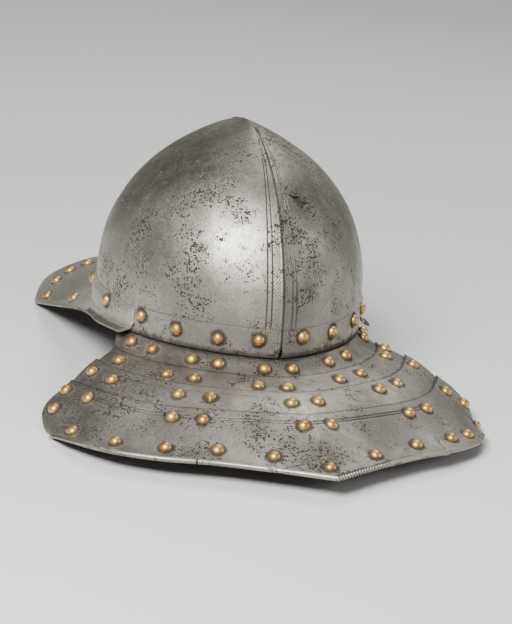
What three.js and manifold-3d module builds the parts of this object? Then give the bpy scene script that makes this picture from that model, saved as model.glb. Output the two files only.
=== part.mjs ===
// A riveted steel helmet: a bowl raised in two halves, a brow peak and a neck guard of four lames.
// Millimetres. The wearer faces -Y and the wearer's left is +X.

import * as THREE from 'three';
import { mergeVertices } from 'three/addons/utils/BufferGeometryUtils.js';
import Module from 'manifold-3d';

// Driving dimensions
const bowlHalfWidth = 93;
const bowlHalfLength = 113.4;
const bowlWallHeight = 11.4;
const bowlDomeHeight = 127.2;
const bowlThickness = 1.8;
const bowlLean = -3.5;
const crestSharpness = 0.36;
const crestSharpnessAtPoint = 0.05;
const lameThickness = 1.2;
const peakThickness = 1.6;
const clearance = 0.3;
const rivetHeadRadius = 4.1;
const rivetHeadHeight = 3.5;
const rivetShoulder = 0.7;
const rivetShankRadius = 1.4;
const rivetTipLength = 0.9;
const rivetHoleRadius = 2.4;
const rivetSeat = 0.4;
const rivetSides = 7;
const wallRowHeight = 6.25;
const restingFlat = 0.8;

// How the bowl closes towards its point: its width and length follow (1 - t ** fall) ** ease, and the
// point itself is drawn in a little more and set back
const bowlWidthCurve = { fall: 2.85, ease: 0.83 };
const bowlLengthCurve = { fall: 2.08, ease: 0.557 };
const bowlTip = { drawnIn: 0.3, reach: 0.04, setBack: 2 };

// How finely the curved plates are faceted
const bowlLevels = 7;
const bowlSteps = 12;
const guardSteps = 12;
const peakSteps = 10;

// The rim of the neck guard in plan, from the tail's point to the side corner
const guardRim = [
  { x: 0, y: 234 },
  { x: 35, y: 215 },
  { x: 68.5, y: 199 },
  { x: 103, y: 186 },
  { x: 129.5, y: 167 },
  { x: 147.5, y: 139 },
  { x: 156, y: 106 },
];

// How far the guard has dropped, as a share of its whole drop, going out from the bowl to the rim
const guardSection = [
  { out: -0.2, drop: -0.62 },
  { out: 0, drop: 0 },
  { out: 0.12, drop: 0.195 },
  { out: 0.3, drop: 0.3 },
  { out: 0.52, drop: 0.45 },
  { out: 0.88, drop: 0.93 },
  { out: 1, drop: 1 },
];
const guardDrop = 41.8;
const guardDropAtCorner = 53;

// The two ends of the guard bow back at the upper lames and out at the last one, each in its own way
const guardEndBow = [
  { out: 0, left: 0, right: 0 },
  { out: 0.2, left: -6, right: -1 },
  { out: 0.36, left: -2, right: 4.5 },
  { out: 0.6, left: 4, right: 8 },
  { out: 0.8, left: 12, right: 11 },
  { out: 1, left: -3, right: -7 },
];
const guardStart = 0.795;
const guardEndFrom = 0.86;
const guardReach = { left: 1, right: 0.95 };

// Each lame: where its upper edge lies at the tail and at the ends, and where it ends under the next one
const lames = [
  { name: 'lame_1', top: 0, end: 0.29 },
  { name: 'lame_2', top: 0.12, end: 0.46 },
  { name: 'lame_3', top: 0.29, end: 0.65 },
  { name: 'lame_4', top: 0.51, end: 1 },
];
const guardRows = [0, 0.06, 0.12, 0.2, 0.29, 0.38, 0.46, 0.51, 0.65, 0.8, 0.9, 1];
const guardSpread = 0.07;
const guardSpreadFrom = 1 / 1.6;
const cornerDropPower = 6;
const lameSink = 1.85;
const lameFlangeHeight = 17.5;
const lameBendHeight = -0.9;

// The rim of the peak: the side runs forward and down, then the front crosses in a shallow arc
const peakRim = [
  { x: 93, y: 47, z: 1 },
  { x: 99, y: 14, z: -1 },
  { x: 96, y: -16, z: -4.5 },
  { x: 93.5, y: -47, z: -10.5 },
  { x: 93.5, y: -100, z: -22.5 },
  { x: 93.5, y: -150, z: -34 },
  { x: 92, y: -184, z: -41 },
  { x: 82, y: -197, z: -28.5 },
  { x: 62, y: -202, z: -18.5 },
  { x: 34, y: -205, z: -11.5 },
  { x: 0, y: -206, z: -9.5 },
];
const peakFlangeTop = 22;
const peakFlangeTopAtEnd = 17;
const peakBend = 4;
const peakHollow = 1.35;
const peakFlangeEnd = { left: 0.316, right: 0.24 };
const peakRimEnd = { left: 1, right: 0.96 };
const peakRows = [0, 0.06, 0.3, 0.55, 0.8, 1];

// The torn edge of the hole near the point, across and up the plate
const puncture = { station: 0.826, height: 98.8 };
const punctureEdge = [
  { across: -5.2, up: 0.2 },
  { across: -4.4, up: 3.2 },
  { across: 1.8, up: 2.6 },
  { across: 4.8, up: -1.6 },
  { across: 2.4, up: -3.2 },
  { across: -1.6, up: -2.6 },
  { across: -3, up: -0.2 },
];
const napeHole = { station: 0.982, height: 4.2, radius: 1.3 };

const steel = { roughness: 0.38, metalness: 0.95 };
const brass = { color: 0xb88a4a, roughness: 0.32, metalness: 0.95 };

// A smooth curve through a table's rows, as a function of one of its columns
function through(rows, along, value) {
  const slope = (i) => {
    const a = rows[Math.max(i - 1, 0)];
    const b = rows[Math.min(i + 1, rows.length - 1)];
    return (b[value] - a[value]) / (b[along] - a[along]);
  };
  return (at) => {
    let i = 0;
    while (i < rows.length - 2 && at > rows[i + 1][along]) i += 1;
    const a = rows[i];
    const b = rows[i + 1];
    const span = b[along] - a[along];
    const t = (at - a[along]) / span;
    const rise = b[value] - a[value];
    const lead = slope(i) * span - rise;
    const trail = rise - slope(i + 1) * span;
    return a[value] + rise * t + t * (1 - t) * (lead * (1 - t) + trail * t);
  };
}

function mix(a, b, t) {
  return a + (b - a) * t;
}

const upward = new THREE.Vector3(0, 0, 1);

// One ring of the bowl at a height, as half-width, half-length and the sharpness of its crest
function bowlRing(height) {
  const t = THREE.MathUtils.clamp((height - bowlWallHeight) / bowlDomeHeight, 0, 1);
  const closing = ({ fall, ease }) => (1 - t ** fall) ** ease;
  const point = 1 - bowlTip.drawnIn * Math.exp((t - 1) / bowlTip.reach);
  return {
    width: bowlHalfWidth * closing(bowlWidthCurve) * point,
    length: bowlHalfLength * closing(bowlLengthCurve),
    crest: mix(crestSharpness, crestSharpnessAtPoint, t ** 3),
    back: -bowlTip.setBack * t * t,
  };
}

// The end of a half ring's arc, where it meets the crest
function crestAngle(crest) {
  return Math.acos(crest / (1 + crest));
}

// A point on the outside of the bowl: station runs from -1 at the brow to 1 at the nape
function bowlPoint(side, station, height) {
  const ring = bowlRing(height);
  const limit = crestAngle(ring.crest);
  const angle = station * limit;
  const x = ring.width * (Math.cos(angle) * (1 + ring.crest) - ring.crest);
  const y = ring.length * Math.sin(angle) / Math.sin(limit) + ring.back;
  return new THREE.Vector3(side * x, y, height);
}

function bowlNormal(side, station, height) {
  const step = 0.01;
  const rise = 0.5;
  const a = bowlPoint(side, station - step, height);
  const b = bowlPoint(side, station + step, height);
  const c = bowlPoint(side, station, height - rise);
  const d = bowlPoint(side, station, height + rise);
  const normal = b.sub(a).cross(d.sub(c)).normalize();
  const out = new THREE.Vector3(side, station, 0);
  if (normal.dot(out) < 0) normal.negate();
  if (Math.abs(station) > 0.999) normal.x = 0;
  return normal.normalize();
}

// The bowl leans a little to one side towards its point
function lean(p) {
  const t = THREE.MathUtils.clamp((p.z - bowlWallHeight) / bowlDomeHeight, 0, 1.02);
  return new THREE.Vector3(p.x + bowlLean * t ** 3, p.y, p.z);
}

function bareGeometry(points, faces) {
  const geometry = new THREE.BufferGeometry();
  const flat = points.flatMap((p) => [p.x, p.y, p.z]);
  geometry.setAttribute('position', new THREE.Float32BufferAttribute(flat, 3));
  geometry.setIndex(faces.flat());
  return geometry;
}

function volumeOf(geometry) {
  const place = geometry.getAttribute('position');
  const index = geometry.getIndex();
  const corner = [new THREE.Vector3(), new THREE.Vector3(), new THREE.Vector3()];
  let sum = 0;
  for (let i = 0; i < index.count; i += 3) {
    corner.forEach((c, k) => c.fromBufferAttribute(place, index.getX(i + k)));
    sum += corner[0].dot(corner[1].clone().cross(corner[2])) / 6;
  }
  return sum;
}

function facingOut(points, faces) {
  const geometry = bareGeometry(points, faces);
  if (volumeOf(geometry) > 0) return geometry;
  return bareGeometry(points, faces.map(([a, b, c]) => [a, c, b]));
}

// A plate with its outer face on a grid of points, and its inner face the thickness below
function plate(grid, thickness, up) {
  const rows = grid.length;
  const columns = grid[0].length;
  const normalAt = (i, j) => {
    const before = grid[Math.max(i - 1, 0)][j];
    const after = grid[Math.min(i + 1, rows - 1)][j];
    const left = grid[i][Math.max(j - 1, 0)];
    const right = grid[i][Math.min(j + 1, columns - 1)];
    const normal = after.clone().sub(before).cross(right.clone().sub(left)).normalize();
    return normal.dot(up(i, j)) < 0 ? normal.negate() : normal;
  };
  const outer = grid.flat();
  const sunk = (p, i, j) => p.clone().addScaledVector(normalAt(i, j), -thickness);
  const inner = grid.flatMap((row, i) => row.map((p, j) => sunk(p, i, j)));
  const count = outer.length;
  const at = (i, j) => i * columns + j;
  const faces = [];
  for (let i = 0; i < rows - 1; i += 1) {
    for (let j = 0; j < columns - 1; j += 1) {
      const [a, b, c, d] = [at(i, j), at(i, j + 1), at(i + 1, j + 1), at(i + 1, j)];
      faces.push([a, b, c], [a, c, d]);
      faces.push([a + count, c + count, b + count], [a + count, d + count, c + count]);
    }
  }
  const edge = (a, b) => faces.push([b, a, a + count], [b, a + count, b + count]);
  for (let j = 0; j < columns - 1; j += 1) {
    edge(at(0, j), at(0, j + 1));
    edge(at(rows - 1, j + 1), at(rows - 1, j));
  }
  for (let i = 0; i < rows - 1; i += 1) {
    edge(at(i + 1, 0), at(i, 0));
    edge(at(i, columns - 1), at(i + 1, columns - 1));
  }
  return facingOut([...outer, ...inner], faces);
}

// The solid dome inside the bowl's outer face moved in by a depth
function dome(depth, bottom) {
  const points = [];
  const around = 4 * bowlSteps;
  const heights = [bottom, wallRowHeight];
  for (let level = 0; level < bowlLevels; level += 1) {
    heights.push(bowlWallHeight + bowlDomeHeight * Math.sin((level / bowlLevels) * Math.PI / 2));
  }
  heights.forEach((height, level) => {
    const z = Math.max(height, 0.6);
    for (let k = 0; k < around; k += 1) {
      const side = k < 2 * bowlSteps ? 1 : -1;
      const along = (k % (2 * bowlSteps)) / bowlSteps - 1;
      const station = side > 0 ? along : -along;
      const p = bowlPoint(side, station, z);
      const n = bowlNormal(side, station, z);
      if (level < 2) n.z = 0;
      n.normalize();
      p.addScaledVector(n, -depth);
      if (level < 2) p.z = height;
      points.push(p);
    }
  });
  const faces = [];
  const rows = heights.length;
  for (let i = 0; i < rows - 1; i += 1) {
    for (let k = 0; k < around; k += 1) {
      const [a, b] = [i * around + k, i * around + (k + 1) % around];
      faces.push([a, b, b + around], [a, b + around, a + around]);
    }
  }
  const peakY = bowlPoint(1, 1, bowlWallHeight + bowlDomeHeight).y;
  const top = points.push(new THREE.Vector3(0, peakY, bowlWallHeight + bowlDomeHeight - depth)) - 1;
  const base = points.push(new THREE.Vector3(0, 0, bottom)) - 1;
  for (let k = 0; k < around; k += 1) {
    const next = (k + 1) % around;
    faces.push([(rows - 1) * around + k, (rows - 1) * around + next, top]);
    faces.push([next, k, base]);
  }
  return facingOut(points, faces);
}

const wasm = await Module();
wasm.setup();

function solid(geometry) {
  const bare = geometry.clone();
  bare.deleteAttribute('normal');
  bare.deleteAttribute('uv');
  const merged = mergeVertices(bare, 1e-4);
  const vertProperties = new Float32Array(merged.getAttribute('position').array);
  const triVerts = new Uint32Array(merged.getIndex().array);
  return new wasm.Manifold(new wasm.Mesh({ numProp: 3, vertProperties, triVerts }));
}

function geometryOf(manifold, move = (p) => p) {
  const mesh = manifold.getMesh();
  const points = [];
  for (let i = 0; i < mesh.vertProperties.length; i += mesh.numProp) {
    points.push(move(new THREE.Vector3().fromArray(mesh.vertProperties, i)));
  }
  const faces = [];
  for (let i = 0; i < mesh.triVerts.length; i += 3) {
    faces.push([mesh.triVerts[i], mesh.triVerts[i + 1], mesh.triVerts[i + 2]]);
  }
  return bareGeometry(points, faces);
}

// A block wide enough to cut anything here
const cutSize = 700;

// Everything on one side of the crest, from half a gap away
function halfSpace(sign) {
  const geometry = new THREE.BoxGeometry(cutSize, cutSize, cutSize);
  return solid(geometry.translate(sign * (cutSize + clearance) / 2, 0, 0));
}

// A turned piece standing on a point of a plate, along the plate's normal
function standing(geometry, place) {
  const turn = new THREE.Quaternion().setFromUnitVectors(new THREE.Vector3(0, 1, 0), place.normal);
  return geometry.applyQuaternion(turn).translate(place.point.x, place.point.y, place.point.z);
}

function holeAt(place, radius = rivetHoleRadius, sides = 4) {
  const depth = 5 * rivetHoleRadius;
  return solid(standing(new THREE.CylinderGeometry(radius, radius, depth, sides), place));
}

function drilled(body, places) {
  return places.reduce((rest, place) => rest.subtract(holeAt(place)), body);
}

// The ragged plug that is torn out of the bowl
function tornPlug(place) {
  const outline = new THREE.Shape(punctureEdge.map(({ across, up }) => new THREE.Vector2(across, up)));
  const depth = 6 * bowlThickness;
  const plug = new THREE.ExtrudeGeometry(outline, { depth, bevelEnabled: false });
  plug.translate(0, 0, -depth / 2).rotateX(-Math.PI / 2).rotateY(Math.PI);
  return solid(standing(plug, place));
}

function sideOf(station) {
  return station < 0 ? { name: 'right', sign: -1 } : { name: 'left', sign: 1 };
}

// Neck guard: station 0 is the middle of the tail, 1 the wearer's left end and -1 the right end
const sectionDrop = through(guardSection, 'out', 'drop');
const endBow = {
  left: through(guardEndBow, 'out', 'left'),
  right: through(guardEndBow, 'out', 'right'),
};
const rimCurve = new THREE.SplineCurve(guardRim.map(({ x, y }) => new THREE.Vector2(x, y)));
const guardStations = [];
for (let j = -guardSteps; j <= guardSteps; j += 1) guardStations.push(j / guardSteps);

// The lames widen away from the tail's middle, so a lame's edge lies further out there
function spreadOut(station, out) {
  const inner = THREE.MathUtils.clamp(out, 0, 1);
  const away = Math.sin(Math.min(Math.abs(station) / guardSpreadFrom, 1) * Math.PI / 2);
  return out + guardSpread * away * 4 * inner * (1 - inner);
}

function guardPoint(station, row, lift = 0) {
  const s = Math.abs(station);
  const side = sideOf(station);
  const out = spreadOut(station, row);
  const root = bowlPoint(1, 1 - s * guardStart, 0);
  const rim = rimCurve.getPointAt(Math.min(s * guardReach[side.name], 1));
  const along = new THREE.Vector2(rim.x - root.x, rim.y - root.y);
  const across = new THREE.Vector2(along.y, -along.x).normalize();
  const nearEnd = THREE.MathUtils.smoothstep(s, guardEndFrom, 1);
  const bow = endBow[side.name](THREE.MathUtils.clamp(out, 0, 1)) * nearEnd;
  const cornerDrop = (guardDropAtCorner - guardDrop) * s ** cornerDropPower * Math.max(out, 0);
  const fall = sectionDrop(out) * (guardDrop + cornerDrop);
  const x = root.x + along.x * out + across.x * bow;
  const y = root.y + along.y * out + across.y * bow;
  return new THREE.Vector3(side.sign * x, y, lift - fall);
}

// How many laps down the outer face of a lame lies: it sinks as it runs under the next one
function lapsUnder(index, out) {
  let laps = 0;
  for (let k = index; k < lames.length - 1; k += 1) {
    const span = lames[k + 1].top - lames[k].top;
    laps += THREE.MathUtils.clamp((out - lames[k].top) / span, 0, 1);
  }
  return laps;
}

// The outer face of one lame
function lamePoint(index, station, out) {
  return guardPoint(station, out, -lameSink * lapsUnder(index, out));
}

function placeOnLame(index, station, out) {
  const step = 0.01;
  const a = lamePoint(index, station - step, out);
  const b = lamePoint(index, station + step, out);
  const c = lamePoint(index, station, out - step);
  const d = lamePoint(index, station, out + step);
  const normal = b.sub(a).cross(d.sub(c)).normalize();
  if (normal.z < 0) normal.negate();
  return { point: lamePoint(index, station, out), normal };
}

function lameGrid(index) {
  const lame = lames[index];
  const outs = guardRows.filter((out) => out >= lame.top && out <= lame.end);
  return outs.map((out) => guardStations.map((station) => lamePoint(index, station, out)));
}

// The first lame turns up inside the bowl
const lameFlangeRows = [lameFlangeHeight, bowlWallHeight, lameBendHeight];

function firstLameGrid() {
  const inside = bowlThickness + 3 * clearance;
  const inBowl = (s, height) => {
    const station = 1 - Math.abs(s) * guardStart;
    const { sign } = sideOf(s);
    const normal = bowlNormal(sign, station, Math.max(height, 1));
    return bowlPoint(sign, station, height).addScaledVector(normal, -inside);
  };
  const flange = lameFlangeRows.map((height) => guardStations.map((s) => inBowl(s, height)));
  return [...flange, ...lameGrid(0).slice(1)];
}

// Peak: station 0 is the middle of the brow, 1 the wearer's left end
const peakSide = new THREE.CatmullRomCurve3(peakRim.map(({ x, y, z }) => new THREE.Vector3(x, y, z)));

// The outside of the upright flange round the bowl
function peakFlangePoint(station, height) {
  const side = sideOf(station);
  const bowlStation = mix(-1, peakFlangeEnd[side.name], Math.abs(station));
  const normal = bowlNormal(1, bowlStation, Math.max(height, peakBend + 2));
  const p = bowlPoint(1, bowlStation, height).addScaledVector(normal, 2 * clearance + peakThickness);
  return p.setX(side.sign * p.x);
}

// The bill, from the foot of the flange to the rim
function peakPoint(station, out) {
  const side = sideOf(station);
  const rim = peakSide.getPoint(1 - Math.min(Math.abs(station), peakRimEnd[side.name]));
  const root = peakFlangePoint(station, peakBend);
  const p = new THREE.Vector3(mix(root.x, side.sign * rim.x, out), mix(root.y, rim.y, out));
  return p.setZ(mix(root.z, rim.z, 1 - (1 - out) ** peakHollow));
}

function peakGrid() {
  const stations = [];
  for (let j = -peakSteps; j <= peakSteps; j += 1) stations.push(j / peakSteps);
  const top = (s) => mix(peakFlangeTop, peakFlangeTopAtEnd, Math.abs(s) ** 4);
  const middle = (peakFlangeTop + peakBend) / 2;
  const flangeRows = [top, () => middle];
  const flange = flangeRows.map((height) => stations.map((s) => peakFlangePoint(s, height(s))));
  const bill = peakRows.map((out) => stations.map((s) => peakPoint(s, out)));
  return { grid: [...flange, ...bill], flangeRows: flangeRows.length };
}

// Which way each point of a plate faces: out on an upright flange, and up and out beyond it
function facingOn(grid, flangeRows) {
  return (i, j) => {
    const outward = grid[i][j].clone().setZ(0).normalize();
    return i < flangeRows ? outward : outward.add(upward);
  };
}

// Rivets: how far out each row lies, how it dips towards the ends, and how it is skewed to one side
const rivetRows = [
  { out: 0.062, dip: -0.03, skew: 0.005 },
  { out: 0.223, dip: -0.035, skew: 0.02 },
  { out: 0.4, dip: -0.03, skew: 0.03 },
  { out: 0.604, dip: -0.015, skew: 0 },
];
const rivetStations = [
  [0.84, 0.69, 0.46, 0.32, 0.09, -0.06, -0.32, -0.48, -0.84, -0.95],
  [0.84, 0.57, 0.44, 0.15, 0.02, -0.3, -0.46, -0.81, -0.95],
  [0.935, 0.805, 0.5, 0.37, 0.045, -0.085, -0.455, -0.59, -0.9],
  [0.97, 0.87, 0.51, 0.4, 0.04, -0.085, -0.495, -0.605, -0.9],
];

// One more sits lower at the right end, through the last lame alone
const loneRivet = { lame: 3, station: -0.948, out: 0.72 };

// The row round the bowl was set by eye, so its heights differ a little
const bowlRow = [
  { side: 'left', station: 0.11, height: 13.9 },
  { side: 'left', station: 0.36, height: 12.9 },
  { side: 'left', station: 0.55, height: 10.4 },
  { side: 'left', station: 0.74, height: 9.4 },
  { side: 'left', station: 0.91, height: 11.6 },
  { side: 'right', station: 0.08, height: 12.5 },
  { side: 'right', station: 0.3, height: 14.4 },
  { side: 'right', station: 0.49, height: 13.4 },
  { side: 'right', station: 0.7, height: 12.1 },
  { side: 'right', station: 0.89, height: 12.9 },
  { side: 'left', station: -0.3, height: 12.5 },
  { side: 'left', station: -0.48, height: 12.5 },
  { side: 'right', station: -0.3, height: 12.5 },
  { side: 'right', station: -0.48, height: 12.5 },
  { side: 'left', station: -1, height: 12.5 },
];

function rivetGeometry(grip) {
  const end = -grip - rivetSeat;
  const profile = [
    [0, rivetHeadHeight],
    [rivetHeadRadius * rivetShoulder, rivetHeadHeight * rivetShoulder],
    [rivetHeadRadius, 0],
    [rivetShankRadius, 0],
    [rivetShankRadius, end],
    [0, end - rivetTipLength],
  ];
  const points = profile.reverse().map(([r, y]) => new THREE.Vector2(r, y + rivetSeat));
  return new THREE.LatheGeometry(points, rivetSides);
}

const helmet = new THREE.Group();
const standingHelmet = new THREE.Group();
standingHelmet.add(helmet);

function add(name, geometry, look) {
  const bare = geometry.clone();
  bare.deleteAttribute('normal');
  bare.deleteAttribute('uv');
  const merged = mergeVertices(bare, 1e-4);
  merged.computeVertexNormals();
  const mesh = new THREE.Mesh(merged, new THREE.MeshStandardMaterial(look));
  mesh.name = name;
  helmet.add(mesh);
}

const twoDigits = (n) => String(n).padStart(2, '0');

function lameRivet({ lame, station, out, alone }, k) {
  const lapped = lame === 0 ? 3 * clearance : lameSink + 2 * clearance;
  return {
    name: `rivet_${lames[lame].name}_${twoDigits(k + 1)}`,
    lame,
    place: placeOnLame(lame, station, out),
    grip: lameThickness + (alone ? 2 * clearance : lapped),
  };
}

const lameRivets = rivetStations.flatMap((stations, lame) => {
  const { out, dip, skew } = rivetRows[lame];
  const row = stations.map((station) => {
    const at = out + dip * Math.abs(station) + skew * station;
    return { lame, station, out: at, alone: false };
  });
  if (lame === loneRivet.lame) row.push({ ...loneRivet, alone: true });
  return row.map(lameRivet);
});

// A rivet through the bowl also holds the peak's flange in front, or the first lame's flange behind
function bowlRivet({ side, station, height }, k) {
  const sign = side === 'left' ? 1 : -1;
  const onPeak = station < peakFlangeEnd[side];
  const onLame = station > 1 - guardStart;
  const normal = bowlNormal(sign, station, height);
  const stand = onPeak ? 2 * clearance + peakThickness : 0;
  const point = bowlPoint(sign, station, height).addScaledVector(normal, stand);
  const layers = stand + bowlThickness + (onLame ? lameThickness + 2 * clearance : 0);
  const spare = station === -1 ? 5 * clearance : 2 * clearance;
  return { name: `rivet_skull_${twoDigits(k + 1)}`, place: { point, normal }, grip: layers + spare };
}

const bowlRivets = bowlRow.map(bowlRivet);
const bowlPlaces = bowlRivets.map(({ place }) => place);

// The bowl's two halves meet along the crest
const shell = solid(dome(0, 0)).subtract(solid(dome(bowlThickness, -5)));
const left = shell.intersect(halfSpace(1));
const right = shell.intersect(halfSpace(-1));
const placeOnBowl = (sign, { station, height }) => ({
  point: bowlPoint(sign, station, height),
  normal: bowlNormal(sign, station, height),
});
const leftHole = holeAt(placeOnBowl(1, napeHole), napeHole.radius, 8);
const rightHole = tornPlug(placeOnBowl(-1, puncture));
const leftHalf = drilled(left, bowlPlaces).subtract(leftHole);
const rightHalf = drilled(right, bowlPlaces).subtract(rightHole);

const lameSolids = lames.map((lame, k) => {
  const grid = k === 0 ? firstLameGrid() : lameGrid(k);
  const holding = lameRivets.filter((rivet) => rivet.lame === k || rivet.lame === k + 1);
  const own = holding.map(({ place }) => place);
  const places = k === 0 ? [...own, ...bowlPlaces] : own;
  const flangeRows = k === 0 ? lameFlangeRows.length : 0;
  return drilled(solid(plate(grid, lameThickness, facingOn(grid, flangeRows))), places);
});

const billPlate = peakGrid();
const billFacing = facingOn(billPlate.grid, billPlate.flangeRows);
const bill = drilled(solid(plate(billPlate.grid, peakThickness, billFacing)), bowlPlaces);

// The turn that brings the guard's two corners and the lower of the peak's corners down to one level
function restingTurn(points) {
  const rounds = 5;
  const turn = new THREE.Quaternion();
  const heightOf = (p) => p.clone().applyQuaternion(turn).z;
  const lowestOf = (list) => list.reduce((low, p) => (heightOf(p) < heightOf(low) ? p : low));
  for (let round = 0; round < rounds; round += 1) {
    const a = lowestOf(points.filter((p) => p.y > 0 && p.x > 0));
    const b = lowestOf(points.filter((p) => p.y > 0 && p.x < 0));
    const c = lowestOf(points.filter((p) => p.y < 0));
    const normal = b.clone().sub(a).cross(c.clone().sub(a)).normalize();
    turn.setFromUnitVectors(normal, upward);
  }
  return { turn, floor: Math.min(...points.map(heightOf)) };
}

function cornersOf(manifold) {
  const place = geometryOf(manifold).getAttribute('position');
  return Array.from({ length: place.count }, (_, i) => new THREE.Vector3().fromBufferAttribute(place, i));
}

// Where it rests, the metal is worn to small flats
const lowLame = lameSolids.pop();
const rest = restingTurn([...cornersOf(lowLame), ...cornersOf(bill)]);
const wornLevel = rest.floor + restingFlat;
const ground = new THREE.BoxGeometry(cutSize, cutSize, cutSize).translate(0, 0, wornLevel - cutSize / 2);
ground.applyQuaternion(rest.turn.clone().invert());
const worn = (body) => body.subtract(solid(ground));
lameSolids.push(worn(lowLame));

add('skull_left', geometryOf(leftHalf, lean), { ...steel, color: 0x8e8f8e });
add('skull_right', geometryOf(rightHalf, lean), { ...steel, color: 0x7f8080 });
lames.forEach(({ name }, k) => add(name, geometryOf(lameSolids[k]), { ...steel, color: 0x868786 }));
add('peak', geometryOf(worn(bill)), { ...steel, color: 0x7d7e7c });
[...bowlRivets, ...lameRivets].forEach(({ name, place, grip }) => {
  add(name, standing(rivetGeometry(grip), place), brass);
});

// Set down on its resting flats, with the origin at the middle of the footprint
helmet.quaternion.copy(rest.turn);
const box = new THREE.Box3().setFromObject(standingHelmet, true);
const middle = box.getCenter(new THREE.Vector3());
helmet.position.set(-middle.x, -middle.y, -wornLevel);

export default standingHelmet;
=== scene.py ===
# The looks of a riveted steel pot helmet: raised bowl halves, lapped neck plates, an arched peak
# and brass rivet caps, on a pale floor in soft studio light.

import math

import bpy
import numpy as np
from mathutils import Matrix, Vector


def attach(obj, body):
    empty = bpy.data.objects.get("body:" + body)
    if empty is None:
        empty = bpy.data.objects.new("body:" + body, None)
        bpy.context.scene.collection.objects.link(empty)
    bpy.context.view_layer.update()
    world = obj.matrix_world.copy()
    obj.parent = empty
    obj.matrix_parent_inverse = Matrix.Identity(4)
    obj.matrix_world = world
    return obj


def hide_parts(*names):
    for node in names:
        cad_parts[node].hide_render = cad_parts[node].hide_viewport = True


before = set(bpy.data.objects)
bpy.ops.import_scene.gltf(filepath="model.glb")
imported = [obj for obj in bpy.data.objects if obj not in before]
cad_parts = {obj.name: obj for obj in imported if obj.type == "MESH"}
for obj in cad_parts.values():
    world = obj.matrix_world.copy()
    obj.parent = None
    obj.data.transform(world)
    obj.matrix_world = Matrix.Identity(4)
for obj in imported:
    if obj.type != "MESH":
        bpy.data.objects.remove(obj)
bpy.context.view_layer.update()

MM = 0.001

# Sizes of the helmet, in millimetres, in the wearer's frame: the face looks along -Y, left is +X
BOWL_HALF_WIDTH = 93.0
BOWL_HALF_LENGTH = 113.4
BOWL_WALL = 11.4
BOWL_DOME = 127.2
BOWL_LEAN = -3.5
BOWL_THICKNESS = 1.8
CREST = 0.36
CREST_AT_POINT = 0.05
# How the dome's width and length fall towards the point, and how its tip is drawn in and set back
WIDTH_FALL, WIDTH_EASE = 2.85, 0.83
LENGTH_FALL, LENGTH_EASE = 2.08, 0.557
TIP_DRAWN_IN, TIP_REACH, TIP_SET_BACK = 0.3, 0.04, 2
LAME_THICKNESS = 1.2
LAME_SINK = 1.85
PEAK_THICKNESS = 1.6
CLEARANCE = 0.3
PEAK_STAND = 2 * CLEARANCE + PEAK_THICKNESS
LEFT, RIGHT = 1, -1

# The neck guard's rim in plan, from the tail's point to the side corner
GUARD_RIM = [(0, 234), (35, 215), (68.5, 199), (103, 186), (129.5, 167), (147.5, 139), (156, 106)]
# Share of the way out from the bowl, and share of the whole drop
GUARD_SECTION = [(-0.2, -0.62), (0, 0), (0.12, 0.195), (0.3, 0.3), (0.52, 0.45), (0.88, 0.93), (1, 1)]
GUARD_DROP = 41.8
GUARD_DROP_AT_CORNER = 53.0
# Share of the way out, and how far the end bows outwards
GUARD_END_BOW = {
    LEFT: [(0, 0), (0.2, -6), (0.36, -2), (0.6, 4), (0.8, 12), (1, -3)],
    RIGHT: [(0, 0), (0.2, -1), (0.36, 4.5), (0.6, 8), (0.8, 11), (1, -7)],
}
GUARD_START = 0.795
GUARD_END_FROM = 0.86
GUARD_REACH = {LEFT: 1.0, RIGHT: 0.95}
GUARD_SPREAD = 0.07
GUARD_SPREAD_RISE = 1.6
CORNER_BENT_IN = 3.6
LAME_TOP = [0, 0.12, 0.29, 0.51]
LAME_END = [0.29, 0.46, 0.65, 1]
FLANGE_HEIGHT = 17.5
FLANGE_BEND = -0.9

# The peak's rim, from its end at the bowl's side to the middle of the brow
PEAK_RIM = [
    (93, 47, 1), (99, 14, -1), (96, -16, -4.5), (93.5, -47, -10.5), (93.5, -100, -22.5), (93.5, -150, -34),
    (92, -184, -41), (82, -197, -28.5), (62, -202, -18.5), (34, -205, -11.5), (0, -206, -9.5),
]
PEAK_TOP = 22
PEAK_TOP_AT_END = 17
PEAK_BEND = 4
PEAK_HOLLOW = 1.35
PEAK_END = {LEFT: 0.316, RIGHT: 0.24}
PEAK_RIM_END = {LEFT: 1.0, RIGHT: 0.96}

# Rivets: how far out each row lies, how it dips towards the ends and how it is skewed to one side
RIVET_ROWS = [(0.062, -0.03, 0.005), (0.223, -0.035, 0.02), (0.4, -0.03, 0.03), (0.604, -0.015, 0)]
RIVET_STATIONS = [
    [0.84, 0.69, 0.46, 0.32, 0.09, -0.06, -0.32, -0.48, -0.84, -0.95],
    [0.84, 0.57, 0.44, 0.15, 0.02, -0.3, -0.46, -0.81, -0.95],
    [0.935, 0.805, 0.5, 0.37, 0.045, -0.085, -0.455, -0.59, -0.9],
    [0.97, 0.87, 0.51, 0.4, 0.04, -0.085, -0.495, -0.605, -0.9],
]
LONE_RIVET = (-0.948, 0.72)
# The row round the bowl: side, station and height
BOWL_ROW = [
    (LEFT, 0.11, 13.9), (LEFT, 0.36, 12.9), (LEFT, 0.55, 10.4), (LEFT, 0.74, 9.4), (LEFT, 0.91, 11.6),
    (RIGHT, 0.08, 12.5), (RIGHT, 0.3, 14.4), (RIGHT, 0.49, 13.4), (RIGHT, 0.7, 12.1), (RIGHT, 0.89, 12.9),
    (LEFT, -0.3, 12.5), (LEFT, -0.48, 12.5), (RIGHT, -0.3, 12.5), (RIGHT, -0.48, 12.5), (LEFT, -1, 12.5),
]
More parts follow.
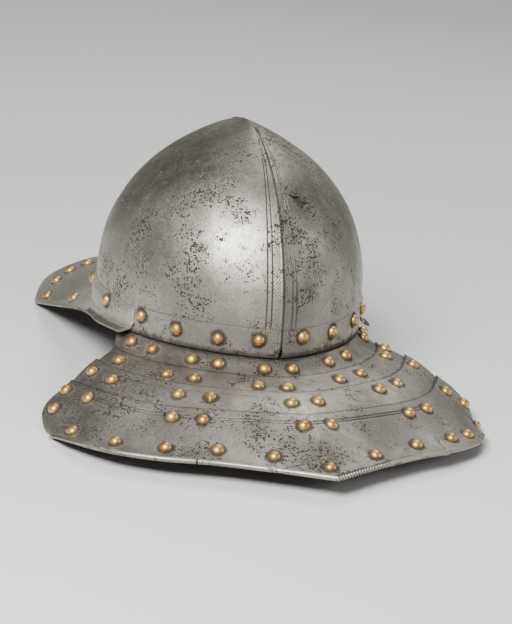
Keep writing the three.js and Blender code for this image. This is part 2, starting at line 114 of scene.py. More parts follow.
# Lining rivets along the last lame's border, by station and share of the way out
BORDER_RIVETS = [
    (0.955, 0.726), (0.863, 0.859), (0.679, 0.86), (0.516, 0.844), (0.352, 0.828), (0.173, 0.841),
    (0.003, 0.888), (-0.222, 0.866), (-0.425, 0.847), (-0.597, 0.848), (-0.7, 0.869), (-0.936, 0.907),
]
PEAK_RIVETS = [(0.5, 0.391), (0.371, 0.83), (0.293, 0.838), (0.226, 0.867), (0.165, 0.864)]
CAP_RADIUS = 4.1
CAP_HEIGHT = 3.6
# Where the dirt and painted contact shadow round a cap begin to thin out and where they end, beyond its edge
DIRT_AND_SHADE_FROM = 0.3
DIRT_AND_SHADE_TO = 4.2

# How it stands: tilted by so many degrees about an axis, then set down, in millimetres
REST_TILT = 2.05087
REST_AXIS = (0.997284, -0.07365, 0)
REST_SHIFT = (-1.835, -14.9065, 48.2481)
FLOOR_GAP = 0.02 * MM


# The form of the plates


def through(rows):
    """A smooth curve through rows of (place, value), as a function of the place."""
    x, y = np.array(rows, float).T
    last = len(x) - 1
    step = np.arange(len(x))
    before, after = np.maximum(step - 1, 0), np.minimum(step + 1, last)
    slope = (y[after] - y[before]) / (x[after] - x[before])

    def at(v):
        i = np.clip(np.searchsorted(x, v) - 1, 0, last - 1)
        span, rise = x[i + 1] - x[i], y[i + 1] - y[i]
        t = (v - x[i]) / span
        lead, trail = slope[i] * span - rise, rise - slope[i + 1] * span
        return y[i] + rise * t + t * (1 - t) * (lead * (1 - t) + trail * t)

    return at


def mix(a, b, t):
    return a + (b - a) * t


def smoothstep(x, low, high):
    t = np.clip((x - low) / (high - low), 0, 1)
    return t * t * (3 - 2 * t)


def fade(x, low, high):
    """1 below low, falling to 0 at high."""
    return 1 - smoothstep(x, low, high)


def unit(v):
    return v / np.maximum(np.linalg.norm(v, axis=-1, keepdims=True), 1e-12)


def grown(*values):
    return np.broadcast_arrays(*[np.asarray(v, float) for v in values])


def side_of(station):
    return np.where(station < 0, RIGHT, LEFT)


def by_side(side, values):
    """The left or the right one of two values, by each point's side."""
    return np.where(side > 0, values[LEFT], values[RIGHT])


def up_dome(height, most=1.0):
    """0 where the dome springs from the wall, 1 at its point."""
    return np.clip((height - BOWL_WALL) / BOWL_DOME, 0, most)


def bowl_point(side, station, height):
    """The bowl's outer face: station runs from -1 at the brow to 1 at the nape."""
    side, station, height = grown(side, station, height)
    t = up_dome(height)
    tip = 1 - TIP_DRAWN_IN * np.exp((t - 1) / TIP_REACH)
    width = BOWL_HALF_WIDTH * (1 - t ** WIDTH_FALL) ** WIDTH_EASE * tip
    length = BOWL_HALF_LENGTH * (1 - t ** LENGTH_FALL) ** LENGTH_EASE
    crest = mix(CREST, CREST_AT_POINT, t ** 3)
    limit = np.arccos(crest / (1 + crest))
    x = width * (np.cos(station * limit) * (1 + crest) - crest)
    y = length * np.sin(station * limit) / np.sin(limit) - TIP_SET_BACK * t * t
    return np.stack([side * x, y, height], -1)


def leaning(points):
    """The bowl leans a little to the right towards its point."""
    points = points.copy()
    points[..., 0] += BOWL_LEAN * up_dome(points[..., 2], 1.02) ** 3
    return points


# How far to either side of a point its neighbours lie: in stations, and in millimetres of height
BESIDE = 0.01
ABOVE = 0.5


def bowl_normal(side, station, height):
    side, station, height = grown(side, station, height)
    run = bowl_point(side, station + BESIDE, height) - bowl_point(side, station - BESIDE, height)
    rise = bowl_point(side, station, height + ABOVE) - bowl_point(side, station, height - ABOVE)
    normal = unit(np.cross(run, rise))
    outward = np.stack([side, station, 0.3 + 0 * side], -1)
    normal = np.where((normal * outward).sum(-1, keepdims=True) < 0, -normal, normal)
    normal[..., 0] = np.where(np.abs(station) > 0.999, 0, normal[..., 0])
    return unit(normal)


def even_spline(points, share):
    """A smooth curve through points, evenly spread over them."""
    p = np.array(points, float)
    last = len(p) - 1
    f = np.clip(share, 0, 1) * last
    i = np.floor(f).astype(int)
    w = (f - i)[..., None]
    before, here = p[np.maximum(i - 1, 0)], p[i]
    after, beyond = p[np.minimum(i + 1, last)], p[np.minimum(i + 2, last)]
    lead, trail = (after - before) / 2, (beyond - here) / 2
    cubic = 2 * here - 2 * after + lead + trail
    square = -3 * here + 3 * after - 2 * lead - trail
    return cubic * w ** 3 + square * w ** 2 + lead * w + here


RIM_STEPS = np.linspace(0, 1, 201)
RIM_LEGS = np.linalg.norm(np.diff(even_spline(GUARD_RIM, RIM_STEPS), axis=0), axis=1)
RIM_RUN = np.concatenate([[0], np.cumsum(RIM_LEGS)])
section_drop = through(GUARD_SECTION)
end_bow = {side: through(rows) for side, rows in GUARD_END_BOW.items()}


def guard_point(station, row, lift):
    """The neck guard: station 0 is the tail's middle, 1 the left end and -1 the right end."""
    station, row, lift = grown(station, row, lift)
    s, side = np.abs(station), side_of(station)
    away = np.sin(np.minimum(s * GUARD_SPREAD_RISE, 1) * math.pi / 2)
    clipped = np.clip(row, 0, 1)
    out = row + GUARD_SPREAD * away * 4 * clipped * (1 - clipped)
    root = bowl_point(1, 1 - s * GUARD_START, 0)
    share = np.interp(np.minimum(s * by_side(side, GUARD_REACH), 1), RIM_RUN / RIM_RUN[-1], RIM_STEPS)
    along = even_spline(GUARD_RIM, share) - root[..., :2]
    clipped = np.clip(out, 0, 1)
    bow = by_side(side, {end: bow_of_end(clipped) for end, bow_of_end in end_bow.items()})
    bow = bow * smoothstep(s, GUARD_END_FROM, 1) / np.hypot(along[..., 0], along[..., 1])
    corner = (GUARD_DROP_AT_CORNER - GUARD_DROP) * s ** 6 * np.maximum(out, 0)
    x = root[..., 0] + along[..., 0] * out + along[..., 1] * bow
    y = root[..., 1] + along[..., 1] * out - along[..., 0] * bow
    return np.stack([side * x, y, lift - section_drop(out) * (GUARD_DROP + corner)], -1)


def lame_point(index, station, out):
    """A lame's outer face: it sinks as it runs under the next one."""
    laps = 0
    for k in range(index, len(LAME_TOP) - 1):
        laps = laps + np.clip((out - LAME_TOP[k]) / (LAME_TOP[k + 1] - LAME_TOP[k]), 0, 1)
    return guard_point(station, out, -LAME_SINK * laps)


def last_lame_point(station, out):
    """The last lame's outer face: its right corner is bent in a little."""
    placed = lame_point(3, station, out)
    bent = smoothstep(-np.asarray(station, float), 0.62, 0.85) * smoothstep(out, 0.78, 1)
    placed[..., 0] += CORNER_BENT_IN * bent
    return placed


def keyed_spline(points, share):
    """A smooth curve through points, spread by the root of their distance, which keeps its corners close."""
    p = np.array(points, float)
    f = np.clip(share, 0, 1) * (len(p) - 1)
    i = np.minimum(np.floor(f).astype(int), len(p) - 2)
    w = (f - i)[..., None]
    q = np.concatenate([[2 * p[0] - p[1]], p, [2 * p[-1] - p[-2]]])
    a, b, c, d = q[i], q[i + 1], q[i + 2], q[i + 3]
    ab, bc, cd = [np.linalg.norm(n - m, axis=-1, keepdims=True) ** 0.5 for m, n in ((a, b), (b, c), (c, d))]
    lead = ((b - a) / ab - (c - a) / (ab + bc) + (c - b) / bc) * bc
    trail = ((c - b) / bc - (d - b) / (bc + cd) + (d - c) / cd) * bc
    return b + lead * w + (3 * (c - b) - 2 * lead - trail) * w ** 2 + (2 * (b - c) + lead + trail) * w ** 3


def peak_flange(station, height):
    """The outside of the peak's upright flange, round the front of the bowl."""
    station, height = grown(station, height)
    side = side_of(station)
    at = mix(-1, by_side(side, PEAK_END), np.abs(station))
    p = bowl_point(1, at, height) + bowl_normal(1, at, np.maximum(height, PEAK_BEND + 2)) * PEAK_STAND
    p[..., 0] *= side
    return p


def peak_point(station, out):
    """The bill: station 0 is the middle of the brow and 1 its left end, out runs from the bend to the rim."""
    station, out = grown(station, out)
    side = side_of(station)
    rim = keyed_spline(PEAK_RIM, 1 - np.minimum(np.abs(station), by_side(side, PEAK_RIM_END)))
    root = peak_flange(station, PEAK_BEND)
    x = mix(root[..., 0], side * rim[..., 0], out)
    y = mix(root[..., 1], rim[..., 1], out)
    z = mix(root[..., 2], rim[..., 2], 1 - np.clip(1 - out, 0, 1) ** PEAK_HOLLOW)
    return np.stack([x, y, z], -1)


REST_AXES = np.array(Matrix.Rotation(math.radians(REST_TILT), 3, Vector(REST_AXIS)))


def in_row(points):
    """From the helmet's millimetres to the standing part's metres, never below the floor."""
    placed = (points @ REST_AXES.T + REST_SHIFT) * MM
    placed[..., 2] = np.maximum(placed[..., 2], FLOOR_GAP)
    return placed


def turned(directions):
    return directions @ REST_AXES.T


def place_of(surface, a, b, rise=BESIDE):
    """A point of a surface and the way it faces."""
    run = surface(a + BESIDE, b) - surface(a - BESIDE, b)
    across = surface(a, b + rise) - surface(a, b - rise)
    normal = unit(np.cross(run, across))
    return surface(a, b), normal if normal[2] > 0 else -normal


# Where the rivets are, each with the CAD node that its cap stands for, if it has one


def rivet_places():
    places = []
    for k, (side, station, height) in enumerate(BOWL_ROW):
        normal = bowl_normal(side, station, height)
        on_peak = station < PEAK_END[side]
        point = bowl_point(side, station, height) + normal * (PEAK_STAND if on_peak else 0)
        places.append((f"rivet_skull_{k + 1:02d}", point, normal))
    for lame, (out, dip, skew) in enumerate(RIVET_ROWS):
        row = [(station, out + dip * abs(station) + skew * station) for station in RIVET_STATIONS[lame]]
        if lame == len(RIVET_ROWS) - 1:
            row.append(LONE_RIVET)
        for k, (station, at) in enumerate(row):
            point, normal = place_of(lambda a, b, lame=lame: lame_point(lame, a, b), station, at)
            places.append((f"rivet_lame_{lame + 1}_{k + 1:02d}", point, normal))
    for station, out in BORDER_RIVETS:
        places.append((None, *place_of(last_lame_point, station, out, rise=0.02)))
    for station, out in PEAK_RIVETS:
        for side in (LEFT, RIGHT):
            places.append((None, *place_of(peak_point, side * station, out)))
    return places


RIVETS = rivet_places()
RIVET_POINTS = np.array([point for _, point, _ in RIVETS])


# Modelling helpers


def deselect():
    if bpy.context.object and bpy.context.object.mode != "OBJECT":
        bpy.ops.object.mode_set(mode="OBJECT")
    bpy.ops.object.select_all(action="DESELECT")


def take(obj):
    deselect()
    obj.select_set(True)
    bpy.context.view_layer.objects.active = obj


def edit():
    """Opens the piece at hand in edit mode, all of it selected."""
    bpy.ops.object.mode_set(mode="EDIT")
    bpy.ops.mesh.select_all(action="SELECT")


def leave_edit(outwards=False):
    """Leaves edit mode, with all faces turned outwards if that is asked."""
    if outwards:
        bpy.ops.mesh.select_all(action="SELECT")
        bpy.ops.mesh.normals_make_consistent(inside=False)
    bpy.ops.object.mode_set(mode="OBJECT")


def apply(obj, kind, **settings):
    """Adds a modifier with these settings and applies it."""
    take(obj)
    modifier = obj.modifiers.new(kind.title(), kind)
    for key, value in settings.items():
        setattr(modifier, key, value)
    bpy.ops.object.modifier_apply(modifier=modifier.name)


def with_lines(even, *lines, reach, step, scale=1.0):
    """Even steps, with close steps about each line, which reach and step give in millimetres at a scale."""
    steps = [even]
    for line in lines:
        steps.append(line + np.arange(-reach, reach + step / 2, step) / scale)
    merged = np.unique(np.round(np.concatenate(steps), 6))
    merged = merged[(merged >= even[0]) & (merged <= even[-1])]
    keep = np.concatenate([[True], np.diff(merged) > 1e-5])
    return merged[keep]


def sheet_normals(points, facing):
    run = np.gradient(points, axis=1)
    rise = np.gradient(points, axis=0)
    normal = unit(np.cross(run, rise))
    turned_in = (normal * facing).sum(-1, keepdims=True) < 0
    return np.where(turned_in, -normal, normal)


def upwards(points):
    return np.array([0.0, 0.0, 1.0]) + 0 * points


def up_and_out(points):
    return upwards(points) + unit(points * [1, 1, 0])


# The marks that every sheet is painted with, 0 where its own function gives none
MARKS = ("near_rivet", "rusted", "near_lap", "near_edge", "groove", "file_marks")


def raised_sheet(name, surface, across, down, relief, outward, marks):
    """A flat sheet with a line for each step across and down, raised to a surface.

    relief gives how far each point stands proud of the surface, outward the way it roughly faces, and marks
    the values painted on it.
    """
    deselect()
    bpy.ops.mesh.primitive_grid_add(x_subdivisions=len(across) - 1, y_subdivisions=len(down) - 1, size=1)
    obj = bpy.context.object
    obj.name = obj.data.name = name
    a, d = np.meshgrid(across, down)
    points = surface(a, d)
    facing = outward(points)
    if relief:
        points = points + sheet_normals(points, facing) * relief(a, d, points)[..., None]
    obj.data.vertices.foreach_set("co", in_row(points).reshape(-1))
    painted = marks(a, d, points)
    for mark in MARKS:
        paint(obj, mark, painted.get(mark, 0 * a))
    obj.data.update()
    row, column = points.shape[0] // 2, points.shape[1] // 3
    sample = obj.data.polygons[row * (len(across) - 1) + column]
    if np.dot(sample.normal, turned(facing[row, column])) < 0:
        edit()
        bpy.ops.mesh.flip_normals()
        leave_edit()
    return obj


def paint(obj, mark, value):
    layer = obj.data.attributes.get(mark) or obj.data.attributes.new(mark, "FLOAT", "POINT")
    layer.data.foreach_set("value", np.asarray(value, np.float32).reshape(-1))


def near_rivets(points):
    """1 under a rivet's foot, falling to 0 a few millimetres away."""
    gap = np.minimum.reduce([np.linalg.norm(points - rivet, axis=-1) for rivet in RIVET_POINTS])
    return fade(gap, CAP_RADIUS + DIRT_AND_SHADE_FROM, CAP_RADIUS + DIRT_AND_SHADE_TO)


# Where rust has bitten most: x, y and z in the helmet's millimetres, reach, and how thickly
RUSTED = [
    (-5, 88, 88, 9, 1), (-9, 93, 78, 8, 0.9), (-24, 76, 93, 11, 0.7), (-20, 34, 121, 22, 0.8),
    (-19, 99, 58, 20, 0.6), (-22, 102, 45, 9, 0.9), (-48, 74, 72, 17, 0.7), (55, 64, 78, 11, 0.7),
    (45, 51, 100, 5, 0.8), (50, 76, 66, 5, 1), (76, 37, 71, 13, 0.6), (24, 77, 92, 9, 0.6),
    (17, 45, 121, 9, 0.5), (86, 28, 52, 4, 0.8), (64, 71, 47, 10, 0.5), (14, 109, 20, 9, 0.6),
    (5, 208, -35, 20, 1), (18, 194, -31, 11, 0.8), (33, 170, -25, 12, 0.8), (112, 126, -27, 16, 0.8),
    (91, 143, -26, 11, 0.7), (141, 111, -40, 10, 0.7), (124, 144, -37, 11, 0.6), (30, 121, -12, 9, 0.7),
    (105, 101, -19, 8, 0.6), (76, 183, -39, 11, 0.7),
]


def rusted(points):
    """How thickly rust has bitten at each point, 0 to 1."""
    most = np.zeros(points.shape[:-1])
    for x, y, z, reach, thickly in RUSTED:
        away = np.linalg.norm(points - [x, y, z], axis=-1)
        most = np.maximum(most, thickly * np.exp(-((away / reach) ** 2)))
    return most


def plate_marks(points, **others):
    return {"near_rivet": near_rivets(points), "rusted": rusted(points), **others}


# Incised lines: how wide, in the measure that they are placed by, and how deep in millimetres
SEAM_CUT = (0.0022, 0.34)
BORDER_CUT = (0.4, 0.12)
GUARD_CUT = (0.004, 0.22)
LINE_FADES = 0.06


def groove(place, line, width, depth):
    """An incised line: how far its floor lies below the face."""
    return -depth * np.exp(-(((place - line) / width) ** 2))


def between(place, start, stop):
    """1 between two stations, fading to 0 beyond them."""
    return smoothstep(place, start - LINE_FADES, start) * fade(place, stop, stop + LINE_FADES)


# The unevenness of each plate: how long and how high its waves are, and the seed of their draws
BOWL_WAVES = (58, 0.3, 7)
GUARD_WAVES = (34, 0.16, 11)
PEAK_WAVES = (40, 0.25, 21)


def hammered(points, size, height, seed):
    """The shallow unevenness that raising by hand leaves."""
    draw = np.random.default_rng(seed)
    total = 0
    for octave in (1.0, 1.7, 2.9):
        for _ in range(4):
            way = unit(draw.normal(size=3)) * 2 * math.pi / size * octave
            total = total + np.sin(points @ way + draw.uniform(0, 2 * math.pi)) / octave
    return total * height / 4


# The angles past which a plate's edge is broken, and past which it is shaded sharp
BROKEN_EDGE = math.radians(50)
SHARP_EDGE = math.radians(38)


def thickened(obj, thickness, edge=0.3, thin=None, thinnest=1.0):
    """Gives a sheet its thickness inwards, less where it is thin, and breaks its sharp edges."""
    settings = {"thickness": thickness * MM, "offset": -1.0}
    outer = len(obj.data.vertices)
    if thin is not None:
        body = obj.vertex_groups.new(name="body")
        for index, share in enumerate(thin.reshape(-1)):
            body.add([index], 1 - float(share), "REPLACE")
        settings.update(vertex_group="body", thickness_vertex_group=thinnest)
    apply(obj, "SOLIDIFY", **settings)
    paint(obj, "inside", np.arange(len(obj.data.vertices)) >= outer)
    apply(obj, "BEVEL", width=edge * MM, segments=2, limit_method="ANGLE", angle_limit=BROKEN_EDGE)
    bpy.ops.object.shade_smooth_by_angle(angle=SHARP_EDGE)
    return obj


def corners_of(obj):
    co = np.empty(len(obj.data.vertices) * 3, np.float32)
    obj.data.vertices.foreach_get("co", co)
    return co


def set_down(obj):
    """Nothing reaches below the floor: what rests on it is worn flat there."""
    co = corners_of(obj)
    co[2::3] = np.maximum(co[2::3], FLOOR_GAP)
    obj.data.vertices.foreach_set("co", co)
    obj.data.update()


def finish(obj, material, slot, *nodes):
    set_down(obj)
    obj.data.materials.clear()
    obj.data.materials.append(material)
    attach(obj, "root")
    if nodes:
        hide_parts(*nodes)


# The bowl's two halves, raised separately: the left one laps over the right along the crest

BOWL_COLUMNS = 160
DOME_ROWS = 112
WALL_ROWS = 9
SEAM_LAP = 0.002
SEAM_LEFT_OPEN = 0.005
SEAM_RAISE = 0.7
SEAM_NOTCH = 0.009
DENT_AT_PUNCTURE = 0.9
# The middle of the head, from which the bowl's faces look outwards
HEAD_MIDDLE = (0, 0, 10)
BORDER_HEIGHT = 19
INCISED_BESIDE_SEAM = (0.046, 0.067)
MM_PER_STATION = 164
PUNCTURE = (RIGHT, 0.826, 98.8)
# The puncture's ragged edge, across and up from its middle
PUNCTURE_EDGE = [
    (-5.4, 1.6), (-10, 6.4), (-4, 4.2), (1.8, 3.6), (4.8, -1), (9, -4),
    (4.4, -3.2), (2.6, -5), (-1.6, -3.6), (-3.4, -0.4),
]
NAPE_HOLE = (LEFT, 0.982, 4.2)
NAPE_HOLE_RADIUS = 1.3
NAPE_DRILL = 9


def bowl_heights():
    wall = np.linspace(0, BOWL_WALL, WALL_ROWS)[:-1]
    dome = BOWL_WALL + BOWL_DOME * np.sin(np.linspace(0, math.pi / 2, DOME_ROWS))
    return with_lines(np.concatenate([wall, dome]), BORDER_HEIGHT, reach=1.2, step=0.3)


def near_puncture(points, side, reach):
    """1 at the middle of the puncture, falling to 0 round it, on its own side of the bowl."""
    away = np.linalg.norm(points - leaning(bowl_point(*PUNCTURE)), axis=-1)
    return np.exp(-((away / reach) ** 2)) * (side == PUNCTURE[0])


def bowl_half(name, side):
    lap = SEAM_LAP if side == LEFT else -SEAM_LEFT_OPEN
    lines = [1 - beside for beside in INCISED_BESIDE_SEAM]
    even = np.linspace(-1 - lap, 1 + lap, BOWL_COLUMNS)
    across = with_lines(even, *lines, reach=1.0, step=0.25, scale=MM_PER_STATION)
    across = with_lines(across, even[-1] - 0.01, reach=1.6, step=0.4, scale=MM_PER_STATION)

    def surface(station, height):
        notch = SEAM_NOTCH * fade(height, 2, 9) * smoothstep(station, 0.97, 1)
        return leaning(bowl_point(side, station - notch, height))

    def relief(station, height, points):
        t = up_dome(height)
        free = smoothstep(height, 17, 30) * fade(t, 0.985, 0.998)
        cut = smoothstep(height, 14, 22) * fade(t, 0.93, 0.985)
        total = hammered(points, *BOWL_WAVES) * free
        for line in lines:
            total = total + groove(station, line, *SEAM_CUT) * cut
        total = total + groove(height, BORDER_HEIGHT, *BORDER_CUT) * smoothstep(station, 0.3, 0.4)
        if side == LEFT:
            total = total + SEAM_RAISE * smoothstep(np.abs(station), 0.991, 1) * fade(t, 0.97, 0.995)
        return total - DENT_AT_PUNCTURE * near_puncture(points, side, 7)

    def marks(station, height, points):
        seam = (1 - np.abs(station)) * MM_PER_STATION * np.sqrt(np.maximum(1 - up_dome(height), 0.02))
        cut = np.minimum.reduce([np.abs(station - line) * MM_PER_STATION for line in lines])
        band = smoothstep(station, lines[0], lines[0] + 0.006)
        # Round the puncture the steel is darkened: painted shade of the dark inside, with rust
        hole = near_puncture(points, side, 6.5)
        border = 0.4 * fade(np.abs(height - BORDER_HEIGHT), 0.2, 0.8) * smoothstep(station, 0.3, 0.4)
        incised = fade(cut, 0.3, 0.8) * smoothstep(height, 16, 24)
        # near_lap darkens the seam and the bottom edge, groove the incised and border lines: dirt and painted
        # shade
        return plate_marks(
            points,
            near_lap=np.maximum.reduce([fade(seam, 0.2, 1.3), 0.8 * fade(height, 0, 7), hole]),
            groove=np.maximum.reduce([incised, border, 0.9 * hole]),
            file_marks=band * (side == LEFT) * fade(height, 50, 66) * smoothstep(height, 16, 26),
        )

    obj = raised_sheet(name, surface, across, bowl_heights(), relief, lambda p: unit(p - HEAD_MIDDLE), marks)
    take(obj)
    edit()
    bpy.ops.mesh.remove_doubles(threshold=0.05 * MM)
    leave_edit()
    return obj


def standing_on(point, normal):
    """A turn and place whose Z is the normal and whose Y leans upwards, in the standing part's metres."""
    z = Vector(turned(normal)).normalized()
    x = Vector((0, 0, 1)).cross(z).normalized()
    y = z.cross(x)
    turn = Matrix((x, y, z)).transposed().to_4x4()
    turn.translation = Vector(in_row(point))
    return turn


def cut_with(body, cutter):
    apply(body, "BOOLEAN", operation="DIFFERENCE", solver="EXACT", object=cutter)
    take(cutter)
    bpy.ops.object.delete()
    return body


# How raggedly the puncture is torn, the seed of its draws, and how deep it is cut to either side of the face
TEAR_ROUGHNESS = 0.22
TEAR_SEED = 5
TEAR_DEPTH = 4


def torn_hole(body):
    """The ragged hole near the point, torn through from outside."""
    draw = np.random.default_rng(TEAR_SEED)
    corners = np.array(PUNCTURE_EDGE)
    ring = []
    for a, b in zip(corners, np.roll(corners, -1, axis=0)):
        for t in (0, 0.25, 0.5, 0.75):
            ring.append(mix(a, b, t) + draw.normal(0, TEAR_ROUGHNESS, 2) * (t > 0))
    deselect()
    bpy.ops.mesh.primitive_circle_add(vertices=len(ring), radius=1, fill_type="NGON")
    cutter = bpy.context.object
    for vertex, (across, up) in zip(cutter.data.vertices, ring):
        vertex.co = Vector((across * MM, up * MM, -TEAR_DEPTH * MM))
    edit()
    bpy.ops.mesh.extrude_region_move(TRANSFORM_OT_translate={"value": (0, 0, 2 * TEAR_DEPTH * MM)})
    leave_edit(outwards=True)
    cutter.data.transform(standing_on(leaning(bowl_point(*PUNCTURE)), bowl_normal(*PUNCTURE)))
    return cut_with(body, cutter)


def nape_hole(body):
    deselect()
    bpy.ops.mesh.primitive_cylinder_add(vertices=20, radius=NAPE_HOLE_RADIUS * MM, depth=NAPE_DRILL * MM)
    cutter = bpy.context.object
    cutter.data.transform(standing_on(leaning(bowl_point(*NAPE_HOLE)), bowl_normal(*NAPE_HOLE)))
    return cut_with(body, cutter)


# The neck guard's four lames

GUARD_COLUMNS = 240
ROLL_SIDES = 14
MM_PER_RIM = 213
MM_ACROSS_GUARD = 115
# Lines cut beside a lame's upper edge: which lame, how far below its edge, between which stations, how deep
INCISED = [(2, 0.062, 0.2, 0.86, 0.5), (3, 0.06, -0.56, 0.86, 1), (3, 0.077, -0.56, 0.86, 1)]
ROLL_RADIUS = 1.75
ROLL_FROM = -0.507
ROLL_TO = 0.985
ROPED = (-0.24, 0.01)
ROPE_PITCH = 2.8
ROPE_DEPTH = 0.8
ROPE_SLANT = 1.3
RIM_CRACK = 0.417
RIM_CRACK_WIDTH = 0.35
# The crack that opens beside the roll's end: share of the way out, and station
END_CRACK = [(0.83, -0.537), (0.86, -0.527), (0.92, -0.527), (0.99, -0.512)]
AROUND_CRACK = -0.525
END_CRACK_DEPTH = 0.4
# How far the last lame's right end is turned up, and how deep the rim is hollowed beside its roll
END_TURNED_UP = 1.1
RIM_HOLLOW = 0.35


def inside_bowl(station, height):
    """The first lame's flange, which turns up inside the bowl."""
    side = side_of(station)
    at = 1 - np.abs(station) * GUARD_START
    point = bowl_point(side, at, height)
    normal = bowl_normal(side, at, np.maximum(height, 1))
    return point - normal * (BOWL_THICKNESS + 3 * CLEARANCE)


def lame(index):
    top, end = LAME_TOP[index], LAME_END[index]
    last = index == len(LAME_TOP) - 1
    incised = [(top + below, *rest) for on, below, *rest in INCISED if on == index]
    lines = [line for line, *_ in incised]
    even = np.linspace(top, end, 30 if last else 18)
    down = with_lines(even, *lines, reach=1.0, step=0.25, scale=MM_ACROSS_GUARD)
    down = with_lines(down, top, reach=1.2, step=0.4, scale=MM_ACROSS_GUARD)
    if index == 0:
        down = np.concatenate([np.linspace(-1, 0, 8)[:-1], down])
    across = with_lines(np.linspace(-1, 1, GUARD_COLUMNS), -1, 1, reach=1.6, step=0.4, scale=MM_PER_RIM)
    if last:
        across = with_lines(across, AROUND_CRACK, reach=3.6, step=0.6, scale=MM_PER_RIM)

    def surface(station, out):
        reached = np.maximum(out, top)
        if last:
            corner = smoothstep(out, 0.9, 1) * smoothstep(np.abs(station), 0.93, 1)
            return last_lame_point(station * (1 - 0.03 * corner), reached)
        placed = lame_point(index, station, reached)
        if index > 0:
            return placed
        height = mix(FLANGE_BEND, FLANGE_HEIGHT, np.clip(-out, 0, 1))
        return mix(inside_bowl(station, height), placed, smoothstep(out, 0, 0.03)[..., None])

    def cracked(station, out):
        """1 along the crack in the last lame."""
        place, line = np.array(END_CRACK).T
        away = np.abs(station - np.interp(out, place, line)) * MM_PER_RIM
        return fade(away, 0.3, 1.1) * smoothstep(out, 0.82, 0.84) * last

    def relief(station, out, points):
        total = hammered(points, *GUARD_WAVES) * smoothstep(out, 0.02, 0.08)
        for line, start, stop, share in incised:
            total = total + groove(out, line, *GUARD_CUT) * share * between(station, start, stop)
        if last:
            total = total - END_CRACK_DEPTH * cracked(station, out)
            total = total + END_TURNED_UP * smoothstep(-station, 0.984, 1) * smoothstep(out, 0.5, 0.62)
            total = total - RIM_HOLLOW * smoothstep(out, 0.955, 0.97) * fade(out, 0.97, 1)
        return total

    def marks(station, out, points):
        to_end = (1 - np.abs(station)) * MM_PER_RIM
        # The lame's top edge gets a painted dark line: painted shade of the lap's step, with dirt
        cut = fade((out - top) * MM_ACROSS_GUARD, 0.5, 1.3) * (index > 0)
        for line, start, stop, share in incised:
            here = fade(np.abs(out - line) * MM_ACROSS_GUARD, 0.25, 0.7) * between(station, start, stop)
            cut = np.maximum(cut, here * share)
        if last:
            # near_lap darkens the face beside the roll and under the next lame's edge: dirt and painted shade
            lap = smoothstep(station, ROLL_FROM - 0.02, ROLL_FROM) * smoothstep(out, 0.93, 0.975)
        else:
            lap = 0.85 * fade((LAME_TOP[index + 1] - out) * MM_ACROSS_GUARD, 0.4, 3.4)
        return plate_marks(
            points,
            near_lap=lap,
            near_edge=fade(to_end, 0.2, 1.6),
            groove=np.maximum(cut, cracked(station, out)),
            file_marks=smoothstep(station, 0.9, 0.97) * (index == 2),
        )

    obj = raised_sheet(f"lame_{index + 1}", surface, across, down, relief, up_and_out, marks)
    return thickened(obj, LAME_THICKNESS)


def rope(twist):
    """How deep a rope's strands are cut, 0 to 1, by how far they have twisted."""
    return (0.5 + 0.5 * np.cos(twist)) ** 2


def rolled_edge(name, edge, beside, stand, along, radius_at, cut_at, worn):
    """A plate's edge turned over into a roll.

    edge gives the plate's face by station and share of the way out, beside a step along it and a place a
    little short of it, and stand how far the roll's middle lies above the face.
    """
    round_it = np.linspace(0, 2 * math.pi, ROLL_SIDES + 1)

    def surface(station, angle):
        rim = edge(station, 1.0)
        out = unit(rim - edge(station, beside[1]))
        up = unit(np.cross(edge(station + beside[0], 1.0) - edge(station - beside[0], 1.0), out))
        up = np.where(up[..., 2:] < 0, -up, up)
        way = np.cos(angle)[..., None] * up + np.sin(angle)[..., None] * out
        return rim + up * stand + radius_at(station, angle)[..., None] * way

    def marks(station, angle, points):
        # near_lap darkens the roll's underside, turned back to the plate: painted shade with dirt
        return {
            "near_lap": 0.9 * np.clip(-np.sin(angle), 0, 1),
            "near_edge": worn * np.clip(np.cos(angle), 0, 1),
            "groove": cut_at(station, angle),
        }

    return raised_sheet(name, surface, along, round_it, None, upwards, marks)


def rolled_rim():
    """The rim turned over a wire, roped to the right of the tail's point."""
    start, stop = ROPED
    turns = MM_PER_RIM / ROPE_PITCH * 2 * math.pi
    along = np.unique(np.concatenate([np.linspace(ROLL_FROM, ROLL_TO, 230), np.arange(start, stop, 0.0016)]))
    along = with_lines(along, RIM_CRACK, reach=1.2, step=0.3, scale=MM_PER_RIM)

    def radius_at(station, angle):
        narrow = 1 - 0.62 * smoothstep(station, 0.66, 0.93)
        opened = 1 + 0.25 * fade(station, ROLL_FROM, ROLL_FROM + 0.03)
        roped = smoothstep(station, start, start + 0.012) * fade(station, stop - 0.012, stop)
        cut = ROPE_DEPTH * roped * rope(station * turns + ROPE_SLANT * angle)
        crack = np.exp(-(((station - RIM_CRACK) * MM_PER_RIM / RIM_CRACK_WIDTH) ** 2))
        return ROLL_RADIUS * narrow * opened - cut - crack

    # The rope's cuts and the crack are painted dark: painted shade in the recesses, with dirt
    def cut_at(station, angle):
        strands = smoothstep(np.cos(station * turns + ROPE_SLANT * angle), 0.3, 1)
        at_crack = fade(np.abs(station - RIM_CRACK) * MM_PER_RIM, 0.3, 0.9)
        return np.maximum(strands * (station > start) * (station < stop), at_crack)

    def edge(station, out):
        return lame_point(3, station, out)

    stand = ROLL_RADIUS - LAME_THICKNESS
    obj = rolled_edge("rolled_rim", edge, (0.002, 0.97), stand, along, radius_at, cut_at, 0.8)
    take(obj)
    edit()
    bpy.ops.mesh.remove_doubles(threshold=0.01 * MM)
    leave_edit(outwards=True)
    bpy.ops.object.shade_smooth()
    return obj


def joined(*objects):
    deselect()
    for obj in objects:
        obj.select_set(True)
    bpy.context.view_layer.objects.active = objects[0]
    bpy.ops.object.join()
    return objects[0]


# The peak: an upright flange round the brow, and an arched bill with roped side edges

